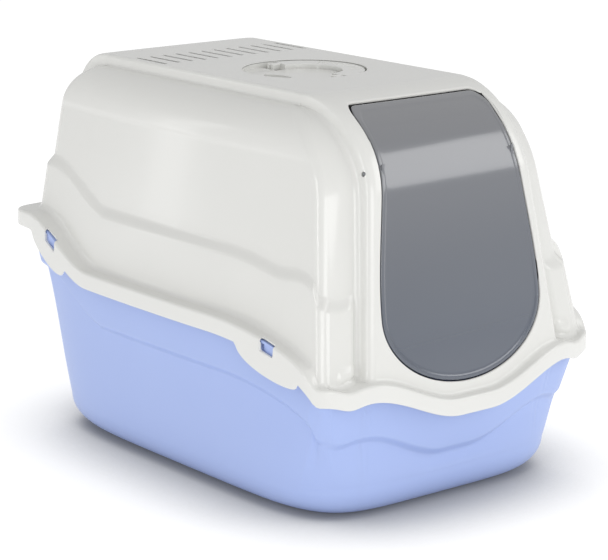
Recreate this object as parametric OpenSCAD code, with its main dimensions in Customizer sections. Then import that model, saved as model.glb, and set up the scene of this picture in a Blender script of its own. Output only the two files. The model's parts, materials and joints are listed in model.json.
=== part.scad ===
// Hooded cat litter box: tray, lift-off hood, swing door, folding carry handle, filter.
// +X is the right side seen from the door, -Y is the front, +Z is up.
// The origin lies on the floor under the middle of the box.

/* [Overall size] */
// Width over the side flanges
overall_w = 390; // [380:1:400]
// Length over the front and rear flanges
overall_l = 574; // [566:1:584]
// Height to the flat top
overall_h = 410; // [402:1:418]
// Wall thickness of the hood and the tray
wall = 2.4; // [2:0.1:3]

/* [Rim] */
// Height of the rim at the middle of the door side
rim_front = 119; // [112:1:124]
// Height of the rim at the front corners
rim_corner = 149; // [144:1:154]
// Height of the rim along the sides
rim_side = 194; // [188:1:200]
// Height of the rim across the rear
rim_rear = 238; // [230:1:242]
// Depth of the skirt that hangs over the tray rim
skirt = 18; // [14:1:20]
// Extra depth of the skirt at the four release lobes
lobe_drop = 19; // [14:1:22]

/* [Hood] */
// Half width of the raised band that runs over the hood
band_half = 103.6; // [100:0.2:106]
// How far the band stands out from the front columns
band_step = 18; // [15:0.5:19]
// How far the band stands above the shoulders
shoulder_drop = 12; // [9:0.5:14]
// Radius of the shoulders along both sides
shoulder_r = 44; // [38:1:48]
// Height of the ledge that runs along the sides, above the rim
ledge_rise = 60; // [56:1:62]
// Width of that ledge
ledge = 6; // [4:0.5:7]

/* [Door] */
// Height of the door's top edge
door_top = 402; // [400:0.5:403]
// Height of the door's lowest point
door_bottom = 133; // [131:1:137]
// Height of the widest line, where the round bottom starts
door_wide_z = 206; // [200:1:212]
// Half width of the door at its widest line
door_wide = 103.5; // [100:0.5:104]
// Half width of the door near its top
door_narrow = 86; // [82:0.5:88]
// Gap between the door and the hood
door_gap = 1.3; // [1.1:0.1:1.6]
// Thickness of the door
door_t = 2; // [1.6:0.1:2.2]
// Height of the door's pivot
pivot_z = 344; // [341:0.5:347]
// Diameter of the pivot pins
pin_d = 5; // [4.4:0.1:5.6]

/* [Handle] */
// Radius of the round dish for the handle
dish_r = 65; // [63:0.5:67]
// Depth of the dish
dish_depth = 12; // [11:0.5:13]
// Depth of the dish's raised floor, inside the handle and beside it
raised_depth = 5.7; // [5.2:0.1:6.4]
// Place of the dish's centre along the box
dish_y = -13; // [-18:1:-8]
// Width of the handle's flat grip
grip_w = 24; // [20:1:26]
// Number of grip ribs
rib_count = 15; // [9:2:19]

/* [Vents and filter] */
// Number of vent slots
vent_count = 12; // [8:1:12]
// Distance between vent slots
vent_pitch = 17; // [15:0.5:17]
// Width of a vent slot
vent_w = 3.6; // [3:0.1:4.4]
// Length of a vent slot
vent_l = 56; // [50:1:60]
// Place of the vents' middle along the box
vent_y = 131; // [129:1:133]
// Thickness of the carbon filter pad
pad_t = 6; // [4:0.5:7]

/* [Tray] */
// Half width of the tray just above its round bottom edge
base_half_w = 172; // [168:1:174]
// Half length of the tray just above its round bottom edge
base_half_l = 247; // [242:1:250]
// Radius of the tray's round bottom edge
bottom_r = 35; // [28:1:38]
// Width of the tray's own ledge, under its rim
tray_ledge = 6; // [4:0.5:7]
// How far the tray wall stands in from the edge of the flange
tray_inset = 13; // [12:0.5:14]

/* [Hidden] */
$fn = 48;
half_w = overall_w / 2;
half_l = overall_l / 2;
top = overall_h;
clear = 0.4;                        // play between pieces that do not fit tightly
shoulder_top = top - shoulder_drop;
shoulder_base = shoulder_top - shoulder_r;
corner_in = 8.6;                    // the corners stand this far inside the middle of the sides
draft = 0.1425;                     // side walls lean out by this much per mm of height
front_slope = 0.1455;               // door side leans out by this much per mm of height
rear_slope = 0.095;
front_corner_y = 235.3;             // where the door side's line meets the top plane
rear_corner_y = 263.4;
front_r = 105;
rear_r = 62;
crease_front_r = 95;
crease_rear_r = 58;
rear_step = 12;
band_flare_z = 344;                 // below this height the band widens
band_flare = 0.115;
edge_r = 6;
crown = 1.6;                        // the band's ends bulge by this much
flange_corner = [166.5, 247, 263];  // x, front y and rear y of the flange corners' centres
flange_corner_r = 17;
side_n = 24;                        // stations along each side

function clamp01(v) = max(0, min(1, v));
function smooth(v) = let (t = clamp01(v)) t * t * (3 - 2 * t);
function mix(a, b, t) = a + (b - a) * t;

// Distance from the middle to a lengthwise profile: a sloped line with a round top edge.
// yc is where the line meets the height zt, r the radius, s the slope, z the height.
function profile_y(yc, zt, r, s, z) =
    let (a = atan(s))
    let (tangent = r * tan((90 - a) / 2))
    let (z_end = zt - tangent * cos(a))
    z <= z_end ? yc + s * (zt - z)
               : yc - tangent + sqrt(max(0, r * r - pow(min(z, zt) - (zt - r), 2)));

function band_y(e, z) = e < 0 ? profile_y(front_corner_y, top, front_r, front_slope, z)
                              : profile_y(rear_corner_y, top, rear_r, rear_slope, z);
function crease_y(e, z) =
    let (zs = min(z, shoulder_top))
    e < 0 ? profile_y(front_corner_y - band_step + front_slope * shoulder_drop, shoulder_top,
                      crease_front_r, front_slope, zs)
          : profile_y(rear_corner_y - rear_step + rear_slope * shoulder_drop, shoulder_top,
                      crease_rear_r, rear_slope, zs);
function band_x(z) = band_half + band_flare * max(0, band_flare_z - z)
                     - 0.8 * clamp01((z - shoulder_top) / shoulder_drop);

// Round shoulder: 1 at the foot of the shoulder, 0 at its crest.
function shoulder(z) = let (h = (min(z, shoulder_top) - shoulder_base) / shoulder_r)
                       h <= 0 ? 1 : sqrt(max(0, 1 - h * h));
function side_x(z) = band_half + (shoulder_r + 0.6) * shoulder(z)
                     + draft * max(0, shoulder_base - z);
function corner_x(z) = band_half + (shoulder_r + 0.6 - corner_in) * shoulder(z)
                       + draft * max(0, shoulder_base - z);
function corner_y(e, z) = crease_y(e, z)
                          - (e < 0 ? 5 + 0.05 * max(0, z - 150) : 8) * shoulder(z);

// Stations run from the middle of one end to the middle of the other: [end, group, place].
// Groups: 0 band, 1 band edge, 2 crease, 3 column, 4 and 5 corner, 6 side wall.
function end_stations(e) = concat([for (t = [0, 0.3, 0.6, 0.85, 0.97]) [e, 0, t]],
    [[e, 1, 0], [e, 2, 0], [e, 3, 0.33], [e, 3, 0.66], [e, 4, 0], [e, 5, 0]]);
function reversed(v) = [for (i = [len(v) - 1:-1:0]) v[i]];
stations = concat(end_stations(-1),
                  [for (i = [0:side_n - 1]) let (t = i / (side_n - 1)) [0, 6, mix(t, (1 - cos(180 * t)) / 2, 0.6)]],
                  reversed(end_stations(1)));

// Distance along the box of the column and corner stations where the shoulder meets the band.
function corner_start(e, g, t) = crease_y(e, shoulder_top) - (g == 2 ? 0 : g == 3 ? 2 * t : g == 4 ? 3 : 9);
// Outline of the hood's wall at the height z for one station, right half; out moves the
// side walls outward, which makes the ledge.
function wall_xy(s, z, out) =
    let (e = s[0], g = s[1], t = s[2])
    g == 0 ? [t * band_x(z), e * (band_y(e, z) - crown * t * t)] :
    g == 1 ? [band_x(z), e * (band_y(e, z) - min(edge_r, band_y(e, z) - crease_y(e, z) - 1))] :
    z > shoulder_top ? [band_x(z), g == 6 ? wall_xy(s, shoulder_top, 0)[1] : e * corner_start(e, g, t)] :
    g == 2 ? [band_x(z) + 1.5 * shoulder(z), e * crease_y(e, z)] :
    g == 3 ? [mix(band_x(z) + 1.5 * shoulder(z), corner_x(z) + 0.7 * out, t),
              e * (mix(crease_y(e, z), corner_y(e, z), t * t) - 2 * t * (1 - shoulder(z)) + 0.8 * out * t)] :
    g == 4 ? [corner_x(z) + 0.7 * out, e * (corner_y(e, z) - 3 * (1 - shoulder(z)) + 0.7 * out)] :
    g == 5 ? [corner_x(z) + 3 * shoulder(z) + 0.95 * out, e * (corner_y(e, z) - 7)] :
    side_xy(z, mix(-corner_y(-1, z) + 14, corner_y(1, z) - 17, t), out);
function side_xy(z, y, out) =
    let (y_ref = y < 0 ? corner_y(-1, z) : corner_y(1, z))
    [side_x(z) - (corner_in - 3) * shoulder(z) * pow(abs(y) / y_ref, 2.2) + out, y];

function flange_x(y) = half_w - 10.5 * pow(abs(y) / 248, 2.2);
function flange_y(e, x) = e < 0 ? half_l - 6 * pow(x / 116, 3.2) : half_l - 7 * pow(x / 170, 3);
// Outer edge of the flange for one station, right half.
function flange_xy(s) =
    let (e = s[0], g = s[1], t = s[2])
    let (cy = e < 0 ? flange_corner[1] : flange_corner[2])
    let (x = g == 0 ? t * 125 : g == 1 ? 126.5 : g == 2 ? 128.5 : mix(128.5, 168, t))
    g <= 3 ? [x, e * flange_y(e, x)] :
    g == 4 ? [flange_corner[0] + flange_corner_r * cos(60), e * (cy + flange_corner_r * sin(60))] :
    g == 5 ? [flange_corner[0] + flange_corner_r * cos(20), e * (cy + flange_corner_r * sin(20))] :
    let (y = mix(-flange_corner[1] + 4, flange_corner[2] - 4, t)) [flange_x(y), y];

// Height of the rim: low and gently waved at the door, falling in a curve along the front
// half of the sides, level in the middle and rising to the rear.
function rim_at(x, y) =
    y < -flange_corner[1] - 6 ? mix(rim_front, rim_corner, smooth((abs(x) - 20) / 108))
                            - 5 * exp(-pow((abs(x) - 150) / 14, 2)) :
    y < -98 ? rim_side - (rim_side - rim_corner) * pow((-y - 98) / 157, 2.6) :
    mix(rim_side, rim_rear, smooth((y - 119) / 128));
function rim_z(s) = let (p = flange_xy(s)) rim_at(p[0], p[1]);
// Foot of the hood's wall on the flange. At the steep front corners it lies straight inward
// of the flange's edge, so that the flange stays clear of the tray's rim.
function foot_xy(s) =
    let (p = flange_xy(s), g = s[1], z = rim_z(s))
    g == 6 ? side_xy(z, p[1] * (p[1] < 0 ? 1 : 0.94), ledge) :
    s[0] < 0 && g >= 4 ? flange_in(s, g == 4 ? 8.5 : 6.5) :
    s[0] < 0 && g >= 2 ? [p[0], wall_xy(s, z, ledge)[1]] : wall_xy(s, z, ledge);
// Height of the side ledge: it follows the rim, a little higher at the front and lower behind.
function ledge_z(s) = let (p = flange_xy(s)) rim_z(s) + ledge_rise + 16 * smooth((-p[1] - 180) / 60)
                      - 6 * smooth((p[1] - 150) / 90);

// Skirt lobes under the four release slots: [place along the box, half length].
lobes = [[-189, 45], [199, 35]];
function lobe_at(y) = max([for (l = lobes) pow(max(0, 1 - pow((y - l[0]) / l[1], 2)), 0.5)]);
function skirt_z(s) = let (p = flange_xy(s))
    rim_z(s) - skirt - (s[1] == 6 ? lobe_drop * lobe_at(p[1]) : 0);

// Inward direction of each group, used to give the shells their thickness.
function inward(s) = let (e = s[0], g = s[1])
    g == 0 ? [0, -e] : g == 1 ? [-1, -e] : g == 2 ? [-1, -e] : g == 3 ? [0, -e] :
    g == 4 ? [-0.9, -0.8 * e] : [-1, 0];
function flange_in(s, d) = let (p = flange_xy(s), e = s[0], g = s[1])
    g <= 3 ? [p[0], p[1] - e * d] :
    g == 4 ? p - d * [cos(60), e * sin(60)] :
    g == 5 ? p - d * [cos(20), e * sin(20)] : [p[0] - d, p[1]];

// One closed ring of points from the right half; the middle stations are not mirrored.
function ring(half) = concat(half, [for (i = [len(half) - 2:-1:1]) [-half[i][0], half[i][1], half[i][2]]]);
function at(p, z) = [p[0], p[1], z];

// A closed skin through a list of rings of equal length, capped at both ends. Each cell is
// two triangles; between the rings first and last their shared edge runs the other way, so
// that a shell's inner face is cut like its outer one.
module skin(rings, first, last) {
    n = len(rings[0]);
    m = len(rings);
    side_faces = [for (k = [0:m - 2], i = [0:n - 1], h = [0, 1])
        let (a = k * n + i, b = k * n + (i + 1) % n, c = b + n, d = a + n)
        k >= first && k < last ? (h == 0 ? [a, d, b] : [b, d, c]) : (h == 0 ? [a, c, b] : [a, d, c])];
    polyhedron(points = [for (r = rings, p = r) p],
               faces = concat(side_faces, [[for (i = [0:n - 1]) i]],
                              [[for (i = [n - 1:-1:0]) (m - 1) * n + i]]), convexity = 12);
}

// Heights of the hood's rings above the ledge.
hood_levels = [312, 340, 362, 380, 391, shoulder_top, top - 5, top];

function hood_outer() = concat(
    [ring([for (s = stations) at(flange_xy(s), skirt_z(s))]),
     ring([for (s = stations) at(flange_xy(s), rim_z(s) - 2)]),
     ring([for (s = stations) at(flange_in(s, 1.6), rim_z(s))]),
     ring([for (s = stations) at(foot_xy(s), rim_z(s) + 0.8)]),
     ring([for (s = stations) at(wall_xy(s, ledge_z(s) - 3, ledge), ledge_z(s) - 3)]),
     ring([for (s = stations) at(wall_xy(s, ledge_z(s) + 3, 0), ledge_z(s) + 3)])],
    [for (z = hood_levels) ring([for (s = stations) at(wall_xy(s, z, 0), z)])]);

function inner_xy(s, z, out) =
    let (p = wall_xy(s, z, out) + wall * inward(s))
    z < shoulder_top || s[1] == 0 ? p : [band_x(z) - wall, p[1]];
function hood_inner() = concat(
    [ring([for (s = stations) at(flange_in(s, wall), skirt_z(s))]),
     ring([for (s = stations) at(flange_in(s, wall), rim_z(s) - wall)]),
     ring([for (s = stations) at(foot_xy(s) + wall * inward(s), rim_z(s) - wall + 0.8)]),
     ring([for (s = stations) at(inner_xy(s, ledge_z(s) - 3, ledge), ledge_z(s) - 5)]),
     ring([for (s = stations) at(inner_xy(s, ledge_z(s) + 3, 0), ledge_z(s) + 1)])],
    [for (z = hood_levels) ring([for (s = stations)
        at(inner_xy(s, z, 0), z - wall * clamp01((z - 340) / 40))])]);

module hood_shell() {
    inner = reversed(hood_inner());
    skin(concat(inner, hood_outer()), 0, len(inner) - 1);
}

// Door outline seen from the front, grown by g: straight sides, round bottom, round top corners.
function door_outline(g) =
    let (r = 11)
    let (half = concat(
        [for (a = [-90:7.5:0]) [(door_wide + g) * cos(a), door_wide_z + (door_wide_z - door_bottom + g) * sin(a)]],
        [[door_narrow + g + 1.5, door_top - 55]],
        [for (a = [10:20:90]) [door_narrow + g - r + r * cos(a), door_top + g - r + r * sin(a)]]))
    concat(half, [for (i = [len(half) - 1:-1:1]) [-half[i][0], half[i][1]]]);

module front_prism(g, y0, y1) translate([0, y1, 0]) rotate([90, 0, 0])
    linear_extrude(y1 - y0) polygon(door_outline(g));

// Lengthwise section of the front skin between two depths below the band's surface.
function front_line(d) = [for (z = [100, 200, 300, 316, 330, 344, 356, 368, 378, 386, 392, 397, 401, 404, 406])
    [-band_y(-1, z), z]];
module front_sheet(d0, d1) rotate([90, 0, 90]) translate([0, 0, -110]) linear_extrude(220)
    polygon(concat([for (p = front_line(0)) p + d0 * sheet_in(p[1])],
                   reversed([for (p = front_line(0)) p + d1 * sheet_in(p[1])])));
// Unit vector into the hood, square to the front profile at the height z.
function sheet_in(z) =
    let (a = (band_y(-1, z - 1) - band_y(-1, z + 1)) / 2, n = sqrt(1 + a * a)) [1 / n, -a / n];

pivot_y = -band_y(-1, pivot_z) + 9;

// Dish under the handle: a cup let into the top plate.
lens_r = 34;
module lens(g, h) linear_extrude(h) intersection() {
    translate([lens_r - 10 - g, 0]) circle(r = lens_r);
    translate([-lens_r + 10 + g, 0]) circle(r = lens_r);
}
lens_x = -34;
pocket_depth = 24;
hinge_z = top - 5.4;
handle_pin_y = dish_r - 9;
handle_pin_d = 4;
pin_play = 0.12;                    // difference in diameter between a pin and its bore
post_w = 10;
post_t = 4;

module dish_cup() {
    difference() {
        union() {
            dish_wall();
            raised_floor();
        }
        translate([lens_x, dish_y, top - dish_depth - wall - 1]) lens(0, dish_depth + wall);
    }
    difference() {
        translate([lens_x, dish_y, top - pocket_depth - wall]) lens(wall, pocket_depth + wall - dish_depth);
        translate([lens_x, dish_y, top - pocket_depth]) lens(0, pocket_depth);
    }
    for (e = [-1, 1]) handle_post(e);
}
module dish_wall() difference() {
    translate([0, dish_y, top - dish_depth - wall]) cylinder(r = dish_r + wall, h = dish_depth);
    translate([0, dish_y, top - dish_depth]) cylinder(r = dish_r, h = dish_depth + 1);
}
// The floor is deep only where the handle lies; the rest stands higher.
island_r = 38.5;
raised_to_x = -9;
module raised_floor() translate([0, dish_y, top - dish_depth - wall / 2]) {
    h = dish_depth - raised_depth + wall / 2;
    cylinder(r = island_r, h = h);
    intersection() {
        cylinder(r = dish_r + wall / 2, h = h);
        translate([raised_to_x - 2 * dish_r, -dish_r * 2, 0]) cube([2 * dish_r, 4 * dish_r, h]);
    }
}
// Bearing post at each end of the handle's axle.
module handle_post(e) difference() {
    translate([-post_w / 2, dish_y + e * handle_pin_y - post_t / 2, top - dish_depth - wall / 2])
        cube([post_w, post_t, dish_depth - 1 + wall / 2]);
    translate([0, dish_y + e * handle_pin_y, hinge_z]) rotate([90, 0, 0])
        cylinder(d = handle_pin_d + pin_play, h = 2 * post_t, center = true);
}

// Release slots: [place along the box, side].
slot_l = 22;
slot_h = 13;
slot_places = [-191, 193];
module release_slots() for (l = slot_places, side = [-1, 1]) {
    slope = atan2(rim_at(flange_x(l), l + 8) - rim_at(flange_x(l), l - 8), 16);
    translate([side * flange_x(l), l, rim_at(flange_x(l), l)]) rotate([slope, 0, 0])
        translate([-6, -slot_l / 2, -slot_h]) cube([12, slot_l, slot_h + 3]);
}

module vent_slots(h) for (i = [0:vent_count - 1]) {
    translate([(i - (vent_count - 1) / 2) * vent_pitch, vent_y, 0])
        translate([-vent_w / 2, -vent_l / 2, -h]) cube([vent_w, vent_l, 2 * h]);
}

// Inner lugs that carry the filter holder under the vents.
holder_half_x = 96;
holder_half_y = 34;
holder_wall = 2;
holder_h = 11;
holder_top = top - wall - clear;
filter_lug = [12, 2.8, 3];          // width, thickness and reach under the holder
module filter_lugs() for (sx = [-1, 1], sy = [-1, 1]) {
    z = holder_top - holder_h - filter_lug[2];
    translate([sx * 60 - filter_lug[0] / 2, vent_y + sy * (holder_half_y + 1.8) - filter_lug[1] / 2, z]) {
        cube([filter_lug[0], filter_lug[1], top - wall / 2 - z]);
        translate([0, sy > 0 ? -filter_lug[2] : 0, 0])
            cube([filter_lug[0], filter_lug[1] + filter_lug[2], filter_lug[2] - clear]);
    }
}

module hood() color("#dedddb") {
    difference() {
        hood_shell();
        front_prism(door_gap, -half_l - 20, -120);
        for (e = [-1, 1]) translate([e * band_x(pivot_z), pivot_y, pivot_z]) rotate([0, 90, 0])
            cylinder(d = pin_d + pin_play, h = 14, center = true);
        translate([0, dish_y, top - wall * 2]) cylinder(r = dish_r, h = wall * 3);
        translate([0, 0, top]) vent_slots(wall * 2);
        release_slots();
    }
    dish_cup();
    filter_lugs();
}

// Door: the part of the front skin inside the outline, with two pivot lugs and pins.
lug_x = door_narrow - 1.5;
lug_t = 3;
lug_r = 4.2;
lug_reach = [7.4, 9];               // how far the lug spreads forward and up and down at the door
face_depth = 0.6;                   // the door's face lies this far below the band's surface
module door_flap() color("#8e929b", 0.75) {
    intersection() {
        front_prism(0, -half_l - 20, -120);
        front_sheet(face_depth, face_depth + door_t);
    }
    for (e = [-1, 1]) {
        translate([e * (lug_x - lug_t / 2), 0, 0]) rotate([90, 0, 90]) translate([0, 0, -lug_t / 2])
            linear_extrude(lug_t) lug_profile();
        translate([e * (lug_x + band_x(pivot_z) - face_depth) / 2, pivot_y, pivot_z]) rotate([0, 90, 0])
            cylinder(d = pin_d, h = band_x(pivot_z) - face_depth - lug_x, center = true);
    }
}
module lug_profile() {
    translate([pivot_y, pivot_z]) circle(r = lug_r);
    polygon([[pivot_y, pivot_z - lug_r], [pivot_y, pivot_z + lug_r],
             [pivot_y - lug_reach[0], pivot_z + lug_reach[1]],
             [pivot_y - lug_reach[0], pivot_z - lug_reach[1]]]);
}

// Carry handle: a flat half ring that lies in the dish, with ribs along its grip.
handle_r = dish_r - 1.4;
handle_t = 7;
handle_z = top - 1 - handle_t;      // its underside, 1 mm below the flat top as it lies
grip_from_x = 7.5;
arm_x = [-4.5, 8];
arm_w = 4.8;
rib = [11, 1.4, 0.8];               // length, width and depth of a grip rib
rib_angle = 5;
module carry_handle() color("#dadad8") translate([0, dish_y, 0]) {
    difference() {
        translate([0, 0, handle_z]) intersection() {
            difference() {
                cylinder(r = handle_r, h = handle_t);
                translate([0, 0, -1]) cylinder(r = handle_r - grip_w, h = handle_t + 2);
            }
            translate([grip_from_x, -handle_r, 0]) cube([handle_r, 2 * handle_r, handle_t]);
        }
        for (i = [0:rib_count - 1]) rotate([0, 0, (i - (rib_count - 1) / 2) * rib_angle])
            translate([handle_r - rib[0] - 2, -rib[1] / 2, handle_z + handle_t - rib[2]])
                cube([rib[0], rib[1], rib[2] + 1]);
    }
    for (e = [-1, 1]) {
        translate([arm_x[0], e * (handle_pin_y - 5.2) - arm_w / 2, handle_z])
            cube([arm_x[1] - arm_x[0], arm_w, handle_t]);
        translate([0, e * (handle_pin_y - post_t / 2), hinge_z]) rotate([90, 0, 0])
            cylinder(d = handle_pin_d, h = 5.6, center = true);
    }
}

// Filter holder: a shallow open frame with a grid floor that hangs under the vents.
grid_window = [15.4, 25];
grid_pitch = [18.4, 29];
grid_margin = 7;
module filter_holder() color("#d6d6d4")
    translate([-holder_half_x, vent_y - holder_half_y, holder_top - holder_h]) difference() {
        cube([2 * holder_half_x, 2 * holder_half_y, holder_h]);
        translate([holder_wall, holder_wall, holder_wall])
            cube([2 * (holder_half_x - holder_wall), 2 * (holder_half_y - holder_wall), holder_h]);
        for (i = [0:9], j = [0, 1])
            translate([grid_margin + i * grid_pitch[0], grid_margin + j * grid_pitch[1], -1])
                cube([grid_window[0], grid_window[1], 4]);
    }

// Carbon filter pad that lies in the holder.
module carbon_filter() color("#2f3032")
    translate([-holder_half_x + 3, vent_y - holder_half_y + 3, holder_top - holder_h + holder_wall])
        cube([2 * holder_half_x - 6, 2 * holder_half_y - 6, pad_t]);

// Tray: base outline is a rounded rectangle, its rim follows the hood's flange.
tray_mid_y = -5;
function base_xy(s, d) =
    let (p = flange_xy(s), a = base_half_w - d, b = base_half_l - d)
    let (u = abs(p[0]) / half_w, v = abs(p[1]) / half_l)
    let (k = pow(pow(u, 5.5) + pow(v, 5.5), -1 / 5.5))
    [a * k * u, tray_mid_y + sign(p[1]) * b * k * v];
function tray_rim(s) = rim_z(s) - wall - 0.6;
// Wall point at the height z, d mm inside the outer face and moved in by a further step.
function tray_xy(s, z, d, step) =
    let (f = (z - bottom_r) / (tray_rim(s) - wall - bottom_r))
    let (a = base_xy(s, d), b = flange_in(s, tray_inset + d), in = flange_in(s, 1) - flange_in(s, 0))
    [mix(a[0], b[0], f) + step * in[0], mix(a[1], b[1], f) + step * in[1]];
// Ring at the depth drop under the rim; under the tray's ledge the wall stands further in.
function tray_ring(drop, d, step) = ring([for (s = stations)
    let (z = tray_rim(s) - drop) at(tray_xy(s, z, d, step), z)]);
// Rings of the round bottom edge, d mm inside the outer face.
function bottom_rings(d) = [for (a = [0:22.5:90])
    ring([for (s = stations) at(base_xy(s, bottom_r - (bottom_r - d) * sin(a)), bottom_r - (bottom_r - d) * cos(a))])];
ledge_drops = [63, 56];             // the ledge lies between these depths under the rim
function tray_outer() = concat(bottom_rings(0),
    [tray_ring(ledge_drops[0], 0, tray_ledge),
     tray_ring(ledge_drops[1], 0, 0),
     tray_ring(wall, 0, 0),
     ring([for (s = stations) at(flange_in(s, wall + clear), tray_rim(s) - wall)])]);
function tray_inner() = concat(bottom_rings(wall),
    [tray_ring(ledge_drops[0], wall, tray_ledge),
     tray_ring(ledge_drops[1], wall, 0),
     tray_ring(0, wall, 0),
     ring([for (s = stations) at(flange_in(s, wall + clear), tray_rim(s))])]);

module tray() color("#adc0e8") {
    outer = tray_outer();
    skin(concat(outer, reversed(tray_inner())), len(outer), 2 * len(outer) - 1);
    snap_hooks();
}
// Hooks on the tray rim that show in the release slots.
hook = [7.2, slot_l - 4, 9];
module snap_hooks() for (l = slot_places, side = [-1, 1]) {
    x = flange_x(l) - wall - clear - 0.7;
    slope = atan2(rim_at(x, l + 8) - rim_at(x, l - 8), 16);
    translate([side * (x - 4), l, rim_at(x, l) - wall - 1.1]) rotate([slope, 0, 0])
        translate([-hook[0] / 2, -hook[1] / 2, -hook[2]]) cube(hook);
}

tray();
hood();
door_flap();
carry_handle();
filter_holder();
carbon_filter();
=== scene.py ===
"""Hooded cat litter box: the looks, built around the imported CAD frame.

Shapes are worked out in millimetres in the frame's own axes (+X right, -Y door side,
+Z up) and turned into metres when a mesh is made.
"""
import json
import math

import bmesh
import bpy
import numpy as np
from mathutils import Matrix, Vector


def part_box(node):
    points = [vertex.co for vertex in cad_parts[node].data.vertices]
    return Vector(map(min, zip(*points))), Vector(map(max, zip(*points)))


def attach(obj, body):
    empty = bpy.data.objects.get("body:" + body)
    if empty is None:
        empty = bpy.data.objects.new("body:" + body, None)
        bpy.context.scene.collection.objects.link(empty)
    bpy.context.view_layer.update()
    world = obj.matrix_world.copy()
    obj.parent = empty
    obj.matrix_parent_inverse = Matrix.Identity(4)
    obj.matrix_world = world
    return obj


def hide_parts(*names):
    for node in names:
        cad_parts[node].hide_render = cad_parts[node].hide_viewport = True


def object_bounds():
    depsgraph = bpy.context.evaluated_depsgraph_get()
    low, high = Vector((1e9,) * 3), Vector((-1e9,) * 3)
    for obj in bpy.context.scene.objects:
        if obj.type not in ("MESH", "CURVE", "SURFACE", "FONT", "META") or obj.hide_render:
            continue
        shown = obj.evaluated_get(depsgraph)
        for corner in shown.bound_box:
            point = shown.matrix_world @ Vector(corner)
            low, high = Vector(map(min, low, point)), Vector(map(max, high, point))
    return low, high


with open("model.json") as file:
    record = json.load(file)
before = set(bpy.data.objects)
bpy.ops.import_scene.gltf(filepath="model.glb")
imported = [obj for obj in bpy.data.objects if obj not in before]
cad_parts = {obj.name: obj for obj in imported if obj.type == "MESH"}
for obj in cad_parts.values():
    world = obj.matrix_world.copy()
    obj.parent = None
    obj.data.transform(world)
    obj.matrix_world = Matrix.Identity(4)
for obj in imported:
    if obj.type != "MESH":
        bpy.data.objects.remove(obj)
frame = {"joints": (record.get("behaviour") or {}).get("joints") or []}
CAD_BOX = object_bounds()

# ---------------------------------------------------------------- sizes, from the frame
MM = 0.001
HALF_W = CAD_BOX[1].x / MM
HALF_L = CAD_BOX[1].y / MM
TOP = CAD_BOX[1].z / MM
DOOR_LOW, DOOR_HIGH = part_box("door_flap")
HANDLE_LOW, HANDLE_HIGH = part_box("carry_handle")
HOLDER_LOW, HOLDER_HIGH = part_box("filter_holder")
PAD_LOW, PAD_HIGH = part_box("carbon_filter")
JOINTS = {j["name"]: j for j in frame["joints"]}
DOOR_PIVOT = np.array(JOINTS["door_swing"]["pos_m"]) / MM
HANDLE_PIVOT = np.array(JOINTS["handle_fold"]["pos_m"]) / MM

# ---------------------------------------------------------------- sizes of the mouldings
WALL = 2.4
SKIRT = 18.0
LOBE_DROP = 18.0
LEDGE = 6.0
BAND_HALF = 103.6
BAND_STEP = 18.0
SHOULDER_DROP = 12.0
SHOULDER_R = 44.0
SHOULDER_OUT = 44.6
SHOULDER_TOP = TOP - SHOULDER_DROP
SHOULDER_BASE = SHOULDER_TOP - SHOULDER_R
CORNER_IN = 8.6
DRAFT = 0.1425
SLOPE = {-1: 0.1455, 1: 0.095}
END_Y = {-1: 235.3, 1: 263.4}
END_R = {-1: 105.0, 1: 62.0}
CREASE_R = {-1: 95.0, 1: 58.0}
STEP = {-1: BAND_STEP, 1: 12.0}
FLARE_Z = 344.0
FLARE = 0.115
CROWN = 1.6
TOP_EDGE_R = 4.0
GROOVE_R = 3.0
DISH_R = 65.0
DISH_DEPTH = 12.0
RAISED_DEPTH = 5.7
DISH_SIDES = 160
ISLAND_R = 38.5
RAISED_TO_X = -9.0
DISH_Y = HANDLE_PIVOT[1]
DOOR_GAP = 1.3
DOOR_T = 2.0
DOOR_DEPTH = 0.6
DOOR_WIDE_Z = 206.0
DOOR_CORNER_R = 11.0
DOOR_ACROSS = 16        # quads from flank to flank
DOOR_TOP_HALF_W = 86.0
DOOR_LUG_X = (83.0, 86.0)
DOOR_PIN_R = 2.5
DOOR_BORE_R = 2.56
BAND_TURN_Z = 380.0     # above it the band's width no longer matters to the front's curve
LENS_X = -34.0
LENS_ARC_R = 34.0
LENS_ARC_OFF = 24.0
POST_Y = 56.0
POST_BORE_R = 2.06
HANDLE_W = 24.0
HANDLE_RIBS = 15
HANDLE_RIB_STEP = 5.0   # degrees
HANDLE_PIN_R = 2.0
SHARP = 0.01            # bevel of a rod that cuts a hole
FLANGE_FRONT_Y = -240.0 # here the flange's corners give way to its sides
FLANGE_REAR_Y = 252.0
PLAIN_Z = 340.0         # the side wall's rows are even up to here, under the shoulders
SLOT_PLACES = (-191.0, 193.0)
SLOT_SLOPE_SPAN = 8.0
LOBES = ((-189.0, 45.0), (199.0, 35.0))
VENT_COUNT = 12
VENT_PITCH = 17.0
VENT_W = 3.6
LUG_X = 60.0
WINDOW = (15.4, 25.0)
WINDOW_PITCH = (18.4, 29.0)
VENT_L = 56.0
VENT_Y = (PAD_LOW.y + PAD_HIGH.y) / 2 / MM
TRAY_INSET = 13.0
TRAY_BASE = (172.0, 247.0)
TRAY_BOTTOM_R = 35.0
TRAY_LEDGE = 6.0
TRAY_LEDGE_DROP = 62.5
TRAY_CORNER_POWER = 5.5
TAB_HALF_W = 8.6
TAB_H = 11.0
TAB_T = 5.5
TRAY_MID_Y = -5.0


def smooth(v):
    t = np.clip(v, 0.0, 1.0)
    return t * t * (3 - 2 * t)


def mix(a, b, t):
    return a + (b - a) * t


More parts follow.
